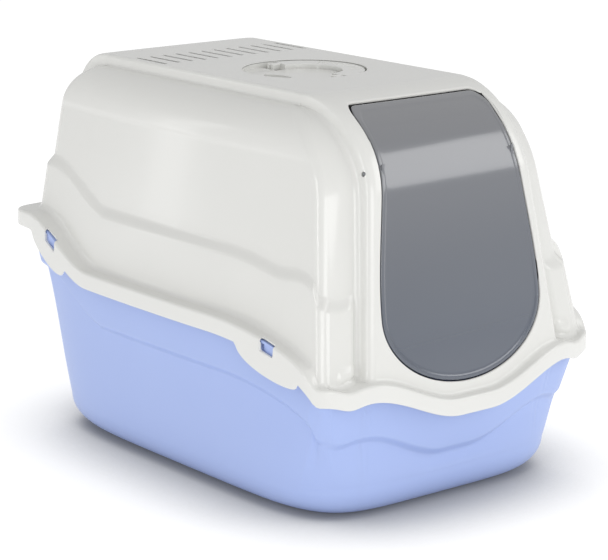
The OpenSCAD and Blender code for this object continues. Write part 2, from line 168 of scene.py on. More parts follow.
# ---------------------------------------------------------------- profiles, as in the CAD
def profile_y(reach, top, radius, slope, z):
    """Distance of an end wall from the middle: a sloped line with a round top edge."""
    angle = math.atan(slope)
    tangent = radius * math.tan((math.pi / 2 - angle) / 2)
    round_from = top - tangent * math.cos(angle)
    over = np.clip(z, round_from, top) - (top - radius)
    arc = reach - tangent + np.sqrt(np.maximum(0.0, radius**2 - over**2))
    return np.where(z <= round_from, reach + slope * (top - z), arc)


def by_end(end, front, rear):
    return np.where(end < 0, front, rear)


def band_y(end, z):
    return by_end(end, *(profile_y(END_Y[e], TOP, END_R[e], SLOPE[e], z) for e in (-1, 1)))


def crease_y(end, z):
    low = np.minimum(z, SHOULDER_TOP)
    return by_end(end, *(
        profile_y(END_Y[e] - STEP[e] + SLOPE[e] * SHOULDER_DROP, SHOULDER_TOP, CREASE_R[e],
                  SLOPE[e], low) for e in (-1, 1)))


def band_x(z):
    edge = np.clip(z - (TOP - TOP_EDGE_R), 0.0, TOP_EDGE_R)
    rounding = TOP_EDGE_R - np.sqrt(np.maximum(0.0, TOP_EDGE_R**2 - edge**2))
    return BAND_HALF + FLARE * np.maximum(0.0, FLARE_Z - z) - rounding


def shoulder(z):
    height = np.clip((np.minimum(z, SHOULDER_TOP) - SHOULDER_BASE) / SHOULDER_R, 0.0, 1.0)
    return np.sqrt(1.0 - height**2)


def side_x(z):
    return BAND_HALF + SHOULDER_OUT * shoulder(z) + DRAFT * np.maximum(0.0, SHOULDER_BASE - z)


def corner_y(end, z):
    """The column's outer corner stands a little behind its crease."""
    back = by_end(end, 5.0 + 0.05 * np.maximum(0.0, z - 150.0), 8.0)
    return crease_y(end, z) - back * shoulder(z)


# ---------------------------------------------------------------- rim and flange
def flange_x(y):
    return HALF_W - 10.5 * (np.abs(y) / 248.0) ** 2.2


def flange_y(end, x):
    return by_end(end, HALF_L - 6.0 * (np.abs(x) / 116.0) ** 3.2,
                  HALF_L - 7.0 * (np.abs(x) / 170.0) ** 3)


def rim_at(x, y):
    """Height of the rim: low at the door, level along the sides, high at the rear."""
    ax = np.abs(x)
    front = mix(119.0, 149.0, smooth((ax - 20) / 108)) - 4.5 * np.exp(-(((ax - 150) / 13) ** 2))
    u = np.clip((-y - 98) / 157, 0.0, 1.1)
    side = 194.0 - 42.0 * (0.7 * u**2 + 0.3 * u**8)
    rear = mix(194.0, 238.0, smooth((y - 119) / 128))
    flank = np.where(y < 0, side, rear)
    return mix(flank, front, smooth((-y - 247.0) / 16.0))


def bezier(p0, p1, p2, p3, t):
    t = t[:, None]
    return p0 * (1 - t) ** 3 + 3 * p1 * t * (1 - t) ** 2 + 3 * p2 * t * t * (1 - t) + p3 * t**3


# Stations of the right half of every ring: which end, which stretch and the place in it.
# Stretches: 0 band, 1 band edge, 2 step, 3 crease, 4 column, 5 corner, 6 side.
STRETCHES = ((0, np.linspace(0, 1, 24)), (1, np.linspace(0, 1, 9)[1:]), (2, np.array([0.33, 0.67])),
             (3, np.linspace(0, 1, 8)), (4, np.linspace(0, 1, 22)[1:-1]), (5, np.linspace(0, 1, 11)))
SIDE_COUNT = 170


def make_stations():
    end = [(k, t) for k, places in STRETCHES for t in places]
    front = [(-1, k, t) for k, t in end]
    side = [(0, 6, t) for t in np.linspace(0, 1, SIDE_COUNT)[1:-1]]
    rear = [(1, k, t) for k, t in reversed(end)]
    return np.array(front + side + rear, float)


STATIONS = make_stations()
KIND = STATIONS[:, 1].astype(int)
PLACE = STATIONS[:, 2]
END = np.where(KIND == 6, np.where(PLACE < 0.5, -1, 1), STATIONS[:, 0])
HALF_N = len(STATIONS)
# Place from the crease to the corner's end, used to spread the stations out at the crest.
ACROSS = np.select([KIND == 3, KIND == 4, KIND == 5, KIND == 6],
                   [0.1 * PLACE, 0.1 + 0.7 * PLACE, 0.8 + 0.2 * PLACE, 1.0], 0.0)


def unit(v):
    return v / np.maximum(1e-9, np.linalg.norm(v, axis=1))[:, None]


def fillet(a, corner, b, radius, t):
    """Point at t on a round between the lines corner-a and corner-b."""
    p0 = corner + unit(a - corner) * radius[:, None]
    p3 = corner + unit(b - corner) * radius[:, None]
    return bezier(p0, mix(p0, corner, 0.55), mix(p3, corner, 0.55), p3, t)


def limit(radius, *lengths):
    return np.minimum(radius, 0.45 * np.minimum.reduce(lengths))


def side_line(z, y, out):
    """Side wall seen from above: it bows outward between the corners."""
    end = np.where(y < 0, -1, 1)
    bow = CORNER_IN * shoulder(z) * (np.abs(y) / corner_y(end, z)) ** 2.2
    return side_x(z) - bow + out


def wall_xy(z, out):
    """Outline of the hood's wall, right half. z and out may differ from station to station."""
    z = np.broadcast_to(z, (HALF_N,)).astype(float)
    out = np.broadcast_to(out, (HALF_N,)).astype(float)
    sh = shoulder(z)
    bx, by, cy = band_x(z), band_y(END, z), crease_y(END, z)
    edge_r = limit(by_end(END, 10.0, 8.0), by - cy)
    brow = by - CROWN * ((bx - edge_r) / bx) ** 2
    band_corner = np.c_[bx, by - CROWN]
    crease = np.c_[bx + 1.5 * sh, cy]
    column = np.c_[side_x(z) - CORNER_IN * sh + out, corner_y(END, z) + 0.8 * out]
    front_len = np.linalg.norm(column - crease, axis=1)
    crease_r = limit(by_end(END, 5.0, 4.0), front_len, by - cy)
    corner_r = limit(by_end(END, 9.0, 24.0), front_len)
    t = PLACE
    p = np.zeros((HALF_N, 2))
    band = np.c_[t * (bx - edge_r), by - CROWN * (t * (bx - edge_r) / bx) ** 2]
    edge = fillet(np.c_[bx * 0, brow + 0.3], band_corner, crease, edge_r, t)
    start = band_corner + unit(crease - band_corner) * edge_r[:, None]
    finish = crease + unit(band_corner - crease) * crease_r[:, None]
    step = mix(start, finish, t[:, None])
    groove = fillet(band_corner, crease, column, crease_r, t)
    along = mix(crease_r / np.maximum(front_len, 1e-6),
                1 - corner_r / np.maximum(front_len, 1e-6), t)
    face = mix(crease, column, along[:, None])
    side_from = column[:, 1] - corner_r
    flank = np.c_[side_line(z, side_from * END, out), side_from]
    corner = fillet(crease, column, flank, corner_r, t)
    for k, points in enumerate((band, edge, step, groove, face, corner)):
        p = np.where((KIND == k)[:, None], points, p)
    ramp = smooth(along / 0.32) - along
    p[:, 1] += np.where(KIND == 4, 0.8 * out * ramp + 1.2 * sh * np.sin(math.pi * t), 0.0)
    p[:, 1] -= by_end(END, 9.0, 7.0) * (1 - sh) * ACROSS * (KIND < 6)
    p[:, 1] *= END
    low, high = [(corner_y(e, z) + 0.8 * out - limit_end(e, z, out)
                  - (9.0 if e < 0 else 7.0) * (1 - sh)) * e for e in (-1, 1)]
    y = mix(low, high, side_place(t))
    p = np.where((KIND == 6)[:, None], np.c_[side_line(z, y, out), y], p)
    return above_shoulder(p, z, bx)


def limit_end(end, z, out):
    """Corner radius at one end, worked out the way wall_xy does it for the corner itself."""
    crease = np.c_[band_x(z) + 1.5 * shoulder(z), crease_y(end, z)]
    column = np.c_[side_x(z) - CORNER_IN * shoulder(z) + out, corner_y(end, z) + 0.8 * out]
    return limit(9.0 if end < 0 else 24.0, np.linalg.norm(column - crease, axis=1))


def side_place(t):
    """Stations crowd a little towards both corners."""
    return mix(t, (1 - np.cos(math.pi * t)) / 2, 0.35)


def above_shoulder(p, z, bx):
    """Over the shoulders the wall is the band's own side, with a groove at its foot."""
    raised = (z > SHOULDER_TOP - 1e-6) & (KIND >= 3)
    lift = np.clip(z - SHOULDER_TOP, 0.0, GROOVE_R)
    groove = GROOVE_R - np.sqrt(np.maximum(0.0, GROOVE_R**2 - (GROOVE_R - lift) ** 2))
    share = np.where(KIND == 3, smooth(PLACE), 1.0)
    p[:, 0] = np.where(raised, bx + groove * share, p[:, 0])
    return p


def flange_xy():
    """Outer edge of the flange, right half, station by station."""
    x = np.select([KIND == 0, KIND == 1, KIND == 2, KIND == 3, KIND == 4],
                  [PLACE * 122, 122 + PLACE * 5, 127 + PLACE * 2, 129 + 3 * PLACE,
                   132 + 28 * PLACE])
    p = np.c_[x, END * flange_y(END, x)]
    front_end = np.array([flange_x(-FLANGE_FRONT_Y), FLANGE_FRONT_Y])
    front = bezier(np.array([160.0, -flange_y(-1, 160.0)]), np.array([176.0, -264.9]),
                   np.array([183.3, -257.0]), front_end, PLACE)
    rear = bezier(np.array([160.0, flange_y(1, 160.0)]), np.array([178.0, 279.0]),
                  np.array([182.4, 273.0]), np.array([flange_x(FLANGE_REAR_Y), FLANGE_REAR_Y]), PLACE)
    p = np.where(((KIND == 5) & (END < 0))[:, None], front, p)
    p = np.where(((KIND == 5) & (END > 0))[:, None], rear, p)
    y = mix(FLANGE_FRONT_Y, FLANGE_REAR_Y, side_place(PLACE))
    return np.where((KIND == 6)[:, None], np.c_[flange_x(y), y], p)


FLANGE = flange_xy()
RIM = rim_at(FLANGE[:, 0], FLANGE[:, 1])
FOOT = wall_xy(RIM, LEDGE)
INWARD = unit(FOOT - FLANGE)
FLANGE_W = np.linalg.norm(FOOT - FLANGE, axis=1)
LEDGE_Z = (RIM + 60.0 + 16 * smooth((-FLANGE[:, 1] - 180) / 60)
           - 6 * smooth((FLANGE[:, 1] - 150) / 90))


def skirt_z():
    y = FLANGE[:, 1]
    lobe = np.max([np.sqrt(np.maximum(0, 1 - ((y - c) / h) ** 2)) for c, h in LOBES], axis=0)
    return RIM - SKIRT - LOBE_DROP * lobe * (KIND == 6)


# ---------------------------------------------------------------- mesh helpers
def full_ring(xy, z):
    """Closed ring of 3-D points from the right half."""
    half = np.c_[xy, np.broadcast_to(z, (HALF_N,))]
    mirror = half[-2:0:-1] * np.array([-1, 1, 1])
    return np.vstack([half, mirror])


def new_object(name, points, faces):
    mesh = bpy.data.meshes.new(name)
    mesh.from_pydata((np.asarray(points) * MM).tolist(), [], faces)
    mesh.update()
    obj = bpy.data.objects.new(name, mesh)
    bpy.context.scene.collection.objects.link(obj)
    return obj


def loft(name, rings, cap_first=False, cap_last=False):
    """Skin through closed rings with equal counts, first ring lowest, outward normals."""
    n = len(rings[0])
    faces = []
    for k in range(len(rings) - 1):
        a, b = k * n, (k + 1) * n
        faces += [(a + i, a + (i + 1) % n, b + (i + 1) % n, b + i) for i in range(n)]
    if cap_first:
        faces.append(tuple(range(n - 1, -1, -1)))
    if cap_last:
        base = (len(rings) - 1) * n
        faces.append(tuple(range(base, base + n)))
    return new_object(name, np.vstack(rings), faces)


def apply_modifier(obj, kind, **settings):
    modifier = obj.modifiers.new(kind.lower(), kind)
    for key, value in settings.items():
        setattr(modifier, key, value)
    deps = bpy.context.evaluated_depsgraph_get()
    mesh = bpy.data.meshes.new_from_object(obj.evaluated_get(deps))
    obj.modifiers.clear()
    old = obj.data
    obj.data = mesh
    bpy.data.meshes.remove(old)
    return obj


def boolean(obj, tool, operation):
    apply_modifier(obj, "BOOLEAN", object=tool, operation=operation, solver="MANIFOLD")
    mesh = tool.data
    bpy.data.objects.remove(tool)
    bpy.data.meshes.remove(mesh)


def cut(obj, tool):
    boolean(obj, tool, "DIFFERENCE")


def add(obj, tool):
    boolean(obj, tool, "UNION")


def shade(obj, angle=38.0):
    """Smooth shading that keeps the edges sharper than the angle, weighted by face size."""
    mesh = obj.data
    mesh.polygons.foreach_set("use_smooth", [True] * len(mesh.polygons))
    mesh.set_sharp_from_angle(angle=math.radians(angle))
    weighted = obj.modifiers.new("weighted normals", "WEIGHTED_NORMAL")
    weighted.keep_sharp = True
    weighted.weight = 80


def extrude_outline(name, outline, levels):
    """Solid through copies of an outline; each level is (grow, function of the outline point)."""
    rings = [np.array([place(p) for p in outline(grow)]) for grow, place in levels]
    solid = loft(name, rings, cap_first=True, cap_last=True)
    recalc(solid)
    return solid


def rounded_box(name, low, high, radius=0.6, segments=3):
    low, high = np.array(low, float), np.array(high, float)
    corners = [[(low, high)[i][0], (low, high)[j][1], (low, high)[k][2]]
               for k in (0, 1) for j in (0, 1) for i in (0, 1)]
    faces = [(0, 2, 3, 1), (4, 5, 7, 6), (0, 1, 5, 4), (2, 6, 7, 3), (0, 4, 6, 2), (1, 3, 7, 5)]
    obj = new_object(name, corners, faces)
    if radius:
        apply_modifier(obj, "BEVEL", width=radius * MM, segments=segments, limit_method="NONE")
    return obj


def rod(name, start, end, radius, bevel=0.5, sides=48):
    """Round bar between two points with softened ends."""
    start, end = np.array(start, float), np.array(end, float)
    length = np.linalg.norm(end - start)
    axis = (end - start) / length
    side = np.cross(axis, [0, 0, 1.0] if abs(axis[2]) < 0.9 else [1.0, 0, 0])
    side /= np.linalg.norm(side)
    up = np.cross(axis, side)
    angles = np.linspace(0, 2 * math.pi, sides, endpoint=False)
    rings = []
    for along, r in ((0, radius - bevel), (bevel, radius), (length - bevel, radius),
                     (length, radius - bevel)):
        rings.append(np.array([start + axis * along + r * (math.cos(a) * side + math.sin(a) * up)
                               for a in angles]))
    return loft(name, rings, cap_first=True, cap_last=True)


def slot_cutter(name, centre, length, width, top, depth, flare, axis="y"):
    """Cutter for a slot with round ends and a softened mouth, straight down from the top."""
    def outline(grow):
        r = width / 2 + grow
        half = length / 2 - width / 2
        arc = np.linspace(0, math.pi, 9)
        p = [(r * math.cos(a), half + r * math.sin(a)) for a in arc]
        p += [(r * math.cos(a), -half + r * math.sin(a)) for a in arc + math.pi]
        return p if axis == "y" else [(y, -x) for x, y in p]

    def at(z):
        return lambda p: (centre[0] + p[0], centre[1] + p[1], z)
    levels = [(0, at(top - depth)), (0, at(top - flare)), (flare * 0.3, at(top - flare * 0.3)),
              (flare, at(top)), (flare, at(top + 3))]
    return extrude_outline(name, outline, levels)


# ---------------------------------------------------------------- hood
def hood_rows():
    """Outer skin of the hood from the skirt's lower edge to the flat top, as (xy, z) rows."""
    def in_from_edge(d):
        return FLANGE + INWARD * np.broadcast_to(d, (HALF_N,))[:, None]

    low = skirt_z()
    edge_r = 3.2
    rows = [(in_from_edge(0.9), low), (in_from_edge(0.3), low + 0.4), (in_from_edge(0), low + 1.4)]
    for t in (0.3, 0.6, 0.9):
        rows.append((in_from_edge(0.3 * t), mix(low + 1.4, RIM - edge_r, t)))
    for a in np.linspace(0, math.pi / 2, 7):
        rows.append((in_from_edge(0.3 + edge_r * (1 - math.cos(a))), RIM - edge_r * (1 - math.sin(a))))
    foot_r = np.minimum(5.0, 0.4 * FLANGE_W)
    for t in (0.35, 0.7):
        rows.append((in_from_edge(mix(3.5, FLANGE_W - foot_r, t)), RIM + 0.7 * t))
    up = RIM + 0.7
    for a in np.linspace(0, math.pi / 2, 7):
        inward = FLANGE_W - foot_r * (1 - math.sin(a))
        z = up + foot_r * (1 - math.cos(a))
        rows.append((in_from_edge(inward) + (wall_xy(z, LEDGE) - FOOT) * math.sin(a), z))
    base = up + foot_r
    ledge_low, ledge_high = LEDGE_Z - 7, LEDGE_Z + 9
    for t in np.linspace(0, 1, 22)[1:-1]:
        z = mix(base, ledge_low, t)
        rows.append((wall_xy(z, LEDGE) + foot_boss(z), z))
    for t in np.linspace(0, 1, 20):
        z = mix(ledge_low, ledge_high, t)
        rows.append((wall_xy(z, LEDGE * (1 - smooth((t - 0.1) / 0.8))), z))
    for t in np.linspace(0, 1, 22)[1:]:
        z = mix(ledge_high, PLAIN_Z, t)
        rows.append((wall_xy(z, 0.0), z))
    levels = list(np.linspace(PLAIN_Z, SHOULDER_BASE, 6)[1:])
    crest = math.radians(83)
    levels += [SHOULDER_BASE + SHOULDER_R * math.sin(a) for a in np.linspace(0, crest, 30)[1:]]
    levels += [SHOULDER_TOP + GROOVE_R * (1 - math.cos(a)) for a in np.linspace(0, math.pi / 2, 8)]
    levels += [SHOULDER_TOP + GROOVE_R + d for d in (1.6, 3.2)]
    levels += [TOP - TOP_EDGE_R * (1 - math.sin(a)) for a in np.linspace(0, math.pi / 2, 11)]
    rows += [(wall_xy(z, 0.0), z) for z in levels]
    return rows


def foot_boss(z):
    """Small raised block at the foot of each front column."""
    x = FOOT[:, 0]
    across = smooth((x - 133) / 2.5) * smooth((156 - x) / 2.5)
    height = smooth((RIM + 19 - z) / 3.0)
    return np.c_[np.zeros(HALF_N), np.where((KIND == 4) & (END < 0), -1.6 * across * height, 0.0)]


def door_outline(grow):
    """Door seen from the front: round bottom, straight flanks, small round top corners."""
    low, high = DOOR_LOW.z / MM, DOOR_HIGH.z / MM
    wide, narrow = DOOR_HIGH.x / MM, DOOR_TOP_HALF_W
    r = DOOR_CORNER_R
    drop = DOOR_WIDE_Z - low
    half = [((wide + grow) * math.cos(a), DOOR_WIDE_Z + (drop + grow) * math.sin(a))
            for a in np.linspace(-math.pi / 2, 0, 40)]
    p0 = np.array(half[-1])
    p3 = np.array([narrow + grow, high - 30])
    flank = bezier(p0, p0 + [0, 55], p3 - [-0.6, 50], p3, np.linspace(0, 1, 24)[1:])
    half += [tuple(p) for p in flank]
    half += [(narrow + grow - r + r * math.cos(a), high + grow - r + r * math.sin(a))
             for a in np.linspace(0, math.pi / 2, 12)]
    reach = half[-1][0]
    edge = [(x, high + grow) for x in np.linspace(reach, -reach, DOOR_ACROSS + 1)[1:-1]]
    mirror = [(-x, z) for x, z in reversed(half[1:])]
    return half + edge + mirror


def on_front(depth):
    """Place on the band's front, a depth below its surface, for an outline point (x, z)."""
    def place(p):
        x, z = p
        step = 0.5
        lean = float(band_y(-1, z - step) - band_y(-1, min(z + step, TOP))) / (2 * step)
        y = float(band_y(-1, z)) - CROWN * (x / float(band_x(min(z, BAND_TURN_Z)))) ** 2
        size = math.hypot(1, lean)
        return (x, -y + depth / size, z - depth * lean / size)
    return place


def straight_to(y, place):
    """The same place, moved level along Y to a plane."""
    return lambda p: (p[0], y, place(p)[2])


def door_cutter():
    levels = [(DOOR_GAP + 1.4, straight_to(-HALF_L - 40, on_front(-6))),
              (DOOR_GAP + 1.5, on_front(-6)), (DOOR_GAP + 1.3, on_front(-0.45)),
              (DOOR_GAP + 0.45, on_front(0.35)), (DOOR_GAP + 0.1, on_front(0.8)),
              (DOOR_GAP, on_front(1.6)), (DOOR_GAP, on_front(8)), (DOOR_GAP, on_front(26)),
              (DOOR_GAP, straight_to(-100.0, on_front(26)))]
    return extrude_outline("door cutter", door_outline, levels)


def dish_ring(radius, z):
    """Level circle about the dish's middle."""
    a = np.linspace(0, 2 * math.pi, DISH_SIDES, endpoint=False)
    return np.c_[radius * np.cos(a), DISH_Y + radius * np.sin(a), np.full(DISH_SIDES, float(z))]


def dish_block():
    rings = [dish_ring(r, z) for r, z in
             ((DISH_R - 6, TOP - 14.4), (DISH_R + 1, TOP - 13.4), (DISH_R + 2.4, TOP - 11),
              (DISH_R + 2.4, TOP - 1.2))]
    return loft("dish block", rings, cap_first=True, cap_last=True)


def dish_cutter():
    """Takes out the dish down to its deep floor, with a round foot and a softened lip."""
    floor = TOP - DISH_DEPTH
    rings = [dish_ring(r, z) for r, z in
             ((2, floor), (DISH_R - 2.4, floor), (DISH_R - 0.8, floor + 0.6),
              (DISH_R - 0.1, floor + 2.2), (DISH_R, TOP - 1.4), (DISH_R + 0.3, TOP - 0.55),
              (DISH_R + 1.2, TOP - 0.02), (DISH_R + 1.2, TOP + 4))]
    return loft("dish cutter", rings, cap_first=True, cap_last=True)


def raised_outline(grow):
    """Raised floor seen from above: a disc inside the handle, joined to the side away from it."""
    edge, small, big = RAISED_TO_X + grow, ISLAND_R + grow, DISH_R + 0.8
    inner = math.acos(edge / small)
    outer = math.acos(edge / big)
    points = [(small * math.cos(a), small * math.sin(a)) for a in np.linspace(-inner, inner, 49)]
    points += [(edge, y) for y in np.linspace(points[-1][1], big * math.sin(outer), 6)[1:-1]]
    points += [(big * math.cos(a), big * math.sin(a))
               for a in np.linspace(outer, 2 * math.pi - outer, 73)]
    y_out, y_in = -big * math.sin(outer), -small * math.sin(inner)
    points += [(edge, y) for y in np.linspace(y_out, y_in, 6)[1:-1]]
    return points


def raised_floor():
    """It stands higher than the deep floor, with rounded upper and lower edges."""
    low, high = TOP - DISH_DEPTH, TOP - RAISED_DEPTH

    def at(z):
        return lambda p: (p[0], p[1] + DISH_Y, z)
    levels = [(1.2, at(low - 0.8)), (1.0, at(low + 0.1)), (0.35, at(low + 0.4)), (0.0, at(low + 1.2)),
              (-0.2, at(high - 1.1)), (-0.5, at(high - 0.4)), (-1.2, at(high))]
    return extrude_outline("raised floor", raised_outline, levels)


def lens_outline(grow):
    """Finger pocket seen from above, two arcs that meet in points."""
    radius, offset = LENS_ARC_R + grow, LENS_ARC_OFF
    reach = math.acos(offset / radius)
    right = [(radius * math.cos(a) - offset, radius * math.sin(a))
             for a in np.linspace(-reach, reach, 17)]
    return right + [(-x, y) for x, y in reversed(right[1:-1])]


def lens_levels(levels):
    def at(z):
        return lambda p: (p[0] + LENS_X, p[1] + DISH_Y, z)
    return [(grow, at(z)) for grow, z in levels]


def handle_posts(hood):
    """Bearing posts of the handle's axle, drilled through."""
    z = HANDLE_PIVOT[2]
    for e in (-1, 1):
        y = HANDLE_PIVOT[1] + e * POST_Y
        post = rounded_box("post", (-5, y - 2, TOP - 13), (5, y + 2, TOP - 1.2), 0.8)
        add(hood, post)
        cut(hood, rod("post bore", (0, y - 5, z), (0, y + 5, z), POST_BORE_R, SHARP))


def rim_slope(x, y):
    """Rise of the rim per millimetre towards the rear."""
    span = SLOT_SLOPE_SPAN
    return float(rim_at(x, y + span) - rim_at(x, y - span)) / (2 * span)


def release_cutter(place, side):
    """Window in the skirt for one snap hook; it leans with the rim."""
    x = float(flange_x(place))
    rise = rim_slope(x, place)
    z = float(rim_at(x, place))

    def outline(grow):
        half, top, low, r = 10.5 + grow, 2.0 + grow, -12.5 - grow, 2.0
        corners = ((half, low), (half, top), (-half * 0.92, top), (-half * 0.8, low))
        points = []
        for i, c in enumerate(corners):
            before, after = np.array(corners[i - 1]), np.array(corners[(i + 1) % 4])
            c = np.array(c)
            a = c + (before - c) / np.linalg.norm(before - c) * r
            b = c + (after - c) / np.linalg.norm(after - c) * r
            turn = bezier(a, mix(a, c, 0.55), mix(b, c, 0.55), b, np.linspace(0, 1, 5))
            points += [tuple(p) for p in turn]
        return points if side > 0 else points[::-1]

    def at(offset):
        return lambda p: (side * (x + offset), place + p[0], z + p[1] + rise * p[0])
    levels = [(0, at(-5.2)), (0, at(-0.9)), (0.25, at(-0.35)), (0.8, at(0.05)), (0.8, at(4))]
    return extrude_outline("slot cutter", outline, levels)


def build_hood():
    rings = [full_ring(xy, z) for xy, z in hood_rows()]
    hood = loft("hood", rings, cap_last=True)
    apply_modifier(hood, "SOLIDIFY", thickness=WALL * MM, offset=-1.0, use_even_offset=True,
                   thickness_clamp=0.9)
    add(hood, dish_block())
    add(hood, extrude_outline("pocket", lens_outline, lens_levels(
        ((0.6, TOP - 26), (2.2, TOP - 24), (2.4, TOP - 10)))))
    cut(hood, dish_cutter())
    add(hood, raised_floor())
    cut(hood, extrude_outline("lens", lens_outline, lens_levels(
        ((-2.5, TOP - 24), (-0.6, TOP - 22.5), (0, TOP - 19), (0, TOP - RAISED_DEPTH - 0.8),
         (0.2, TOP - RAISED_DEPTH - 0.25), (0.8, TOP - RAISED_DEPTH + 0.05), (0.8, TOP + 4)))))
    handle_posts(hood)
    cut(hood, door_cutter())
    for i in range(VENT_COUNT):
        x = (i - (VENT_COUNT - 1) / 2) * VENT_PITCH
        cut(hood, slot_cutter("vent", (x, VENT_Y), VENT_L, VENT_W, TOP, WALL * 2, 0.8))
    for place in SLOT_PLACES:
        for side in (-1, 1):
            cut(hood, release_cutter(place, side))
    for e in (-1, 1):
        x = e * float(band_x(DOOR_PIVOT[2]))
        cut(hood, rod("pin hole", (x - 8, *DOOR_PIVOT[1:]), (x + 8, *DOOR_PIVOT[1:]),
                      DOOR_BORE_R, SHARP))
    for sx in (-1, 1):
        for sy in (-1, 1):
            add(hood, filter_lug(sx, sy))
    shade(hood)
    return hood


def filter_lug(sx, sy):
    """L-shaped lug under the top that carries one corner of the filter holder."""
    low = HOLDER_LOW.z / MM
    edge = (HOLDER_HIGH.y if sy > 0 else HOLDER_LOW.y) / MM
    x = sx * LUG_X
    stem = sorted((edge + sy * 0.4, edge + sy * 3.2))
    ledge = sorted((edge - sy * 2.6, edge + sy * 3.2))
    lug = rounded_box("lug", (x - 6, stem[0], low - 3), (x + 6, stem[1], TOP - WALL / 2), 0.3, 2)
    add(lug, rounded_box("lug ledge", (x - 6, ledge[0], low - 3), (x + 6, ledge[1], low - 0.4), 0.3, 2))
    return lug


# ---------------------------------------------------------------- door
def build_door():
    """Tinted flap: a curved sheet with a bead around it, on two lugs with pins."""
    face = DOOR_DEPTH
    back = DOOR_DEPTH + DOOR_T
    rings = [(-9.0, back), (-0.9, back), (-0.25, back - 0.3), (0.0, back - 0.9), (0.0, face + 0.9),
             (-0.3, face + 0.3), (-0.9, face), (-3.6, face), (-4.2, face + 0.15), (-4.9, face + 0.55),
             (-5.6, face + 0.7), (-9.0, face + 0.7)]
    loops = [np.array([on_front(d)(p) for p in door_outline(g)]) for g, d in rings]
    n = len(loops[0])
    points = np.vstack(loops)
    faces = []
    for k in range(len(loops) - 1):
        a, b = k * n, (k + 1) * n
        faces += [(a + i, a + (i + 1) % n, b + (i + 1) % n, b + i) for i in range(n)]
    points, faces = fill_sheet(points, faces, 0, n, True)
    points, faces = fill_sheet(points, faces, (len(loops) - 1) * n, n, False)
    door = new_object("door", points, faces)
    recalc(door)
    for e in (-1, 1):
        add(door, door_lug(e))
        y, z = DOOR_PIVOT[1], DOOR_PIVOT[2]
        end = float(band_x(z)) - 0.5
        add(door, rod("pin", (e * 85, y, z), (e * end, y, z), DOOR_PIN_R))
    shade(door)
    return door


def fill_sheet(points, faces, first, n, flip):
    """Closes a door loop with rows that follow the front's curve from flank to flank."""
    # The lowest point comes first; the points of the top edge follow first + m - 1.
    m = (n - DOOR_ACROSS + 2) // 2
    points = list(points)
    rows = [[first]]
    for i in range(1, m):
        left, right = first + n - i, first + i
        if i == m - 1:
            inner = list(range(left - 1, right, -1))
        else:
            start, x_edge = len(points), points[right][0]
            flat = min(points[right][2], BAND_TURN_Z)
            for k in range(1, DOOR_ACROSS):
                x = mix(-x_edge, x_edge, k / DOOR_ACROSS)
                bulge = CROWN * (x_edge**2 - x**2) / float(band_x(flat)) ** 2
                points.append(np.array([x, points[right][1] - bulge, points[right][2]]))
            inner = list(range(start, len(points)))
        rows.append([left, *inner, right])
    for low, high in zip(rows, rows[1:]):
        for k in range(DOOR_ACROSS):
            start = (low[k], low[k + 1]) if len(low) > 1 else (low[0],)
            face = (*start, high[k + 1], high[k])
            faces.append(face[::-1] if flip else face)
    return np.array(points), faces


def recalc(obj):
    """Merges coincident points and turns every face outward, as the booleans need."""
    bm = bmesh.new()
    bm.from_mesh(obj.data)
    bmesh.ops.remove_doubles(bm, verts=bm.verts, dist=1e-7)
    bmesh.ops.recalc_face_normals(bm, faces=bm.faces)
    bm.to_mesh(obj.data)
    bm.free()


def door_lug(e):
    """Ear behind the door's edge that carries one pin."""
    y, z = DOOR_PIVOT[1], DOOR_PIVOT[2]
    arc = [(y + 4.2 * math.cos(a), z + 4.2 * math.sin(a))
           for a in np.linspace(-math.pi / 2, math.pi / 2, 17)]
    outline = arc + [(y - 7.0, z + 9), (y - 7.0, z - 9)]
    rings = [np.array([(x, *p) for p in outline]) for x in sorted(e * face_x for face_x in DOOR_LUG_X)]
    lug = loft("lug", rings, cap_first=True, cap_last=True)
    recalc(lug)
    apply_modifier(lug, "BEVEL", width=0.4 * MM, segments=2, limit_method="ANGLE")
    return lug


# ---------------------------------------------------------------- carry handle
def build_handle():
    """Half-ring grip with rounded edges and ribs, on two arms with pins."""
    low, high = HANDLE_LOW.z / MM, HANDLE_HIGH.z / MM
    outer = HANDLE_HIGH.x / MM
    inner = outer - HANDLE_W
    r = 1.4
    section = []
    for cx, cz, a0 in ((outer - r, high - r, 0), (inner + r, high - r, 90), (inner + r, low + r, 180),
                       (outer - r, low + r, 270)):
        section += [(cx + r * math.cos(math.radians(a0 + a)), cz + r * math.sin(math.radians(a0 + a)))
                    for a in (0, 22.5, 45, 67.5, 90)]
    start = math.asin(8.0 / outer)
    spans = np.linspace(-math.pi / 2 + start, math.pi / 2 - start, 121)
    loops = [np.array([(reach * math.cos(a), reach * math.sin(a) + DISH_Y, z)
                       for reach, z in section]) for a in spans]
    handle = loft("handle", loops, cap_first=True, cap_last=True)
    recalc(handle)
    middle = HANDLE_RIBS // 2
    for i in range(HANDLE_RIBS):
        a = math.radians((i - middle) * HANDLE_RIB_STEP)
        groove = slot_cutter("rib", (0, 0), 12.0, 1.5, high, 0.9, 0.4, axis="x")
        to_dish = Matrix.Translation(Vector((0, DISH_Y * MM, 0)))
        to_grip = Matrix.Translation(Vector(((outer - 9) * MM, 0, 0)))
        groove.data.transform(to_dish @ Matrix.Rotation(a, 4, "Z") @ to_grip)
        cut(handle, groove)
    for e in (-1, 1):
        y = HANDLE_PIVOT[1] + e * 50.8
        add(handle, rounded_box("arm", (-4.4, y - 2.4, low), (16, y + 2.4, high), 1.0))
        y0 = HANDLE_PIVOT[1] + e * 51.5
        y1 = HANDLE_PIVOT[1] + e * 56.8
        add(handle, rod("pin", (0, y0, HANDLE_PIVOT[2]), (0, y1, HANDLE_PIVOT[2]), HANDLE_PIN_R, 0.4))
    shade(handle)
    return handle


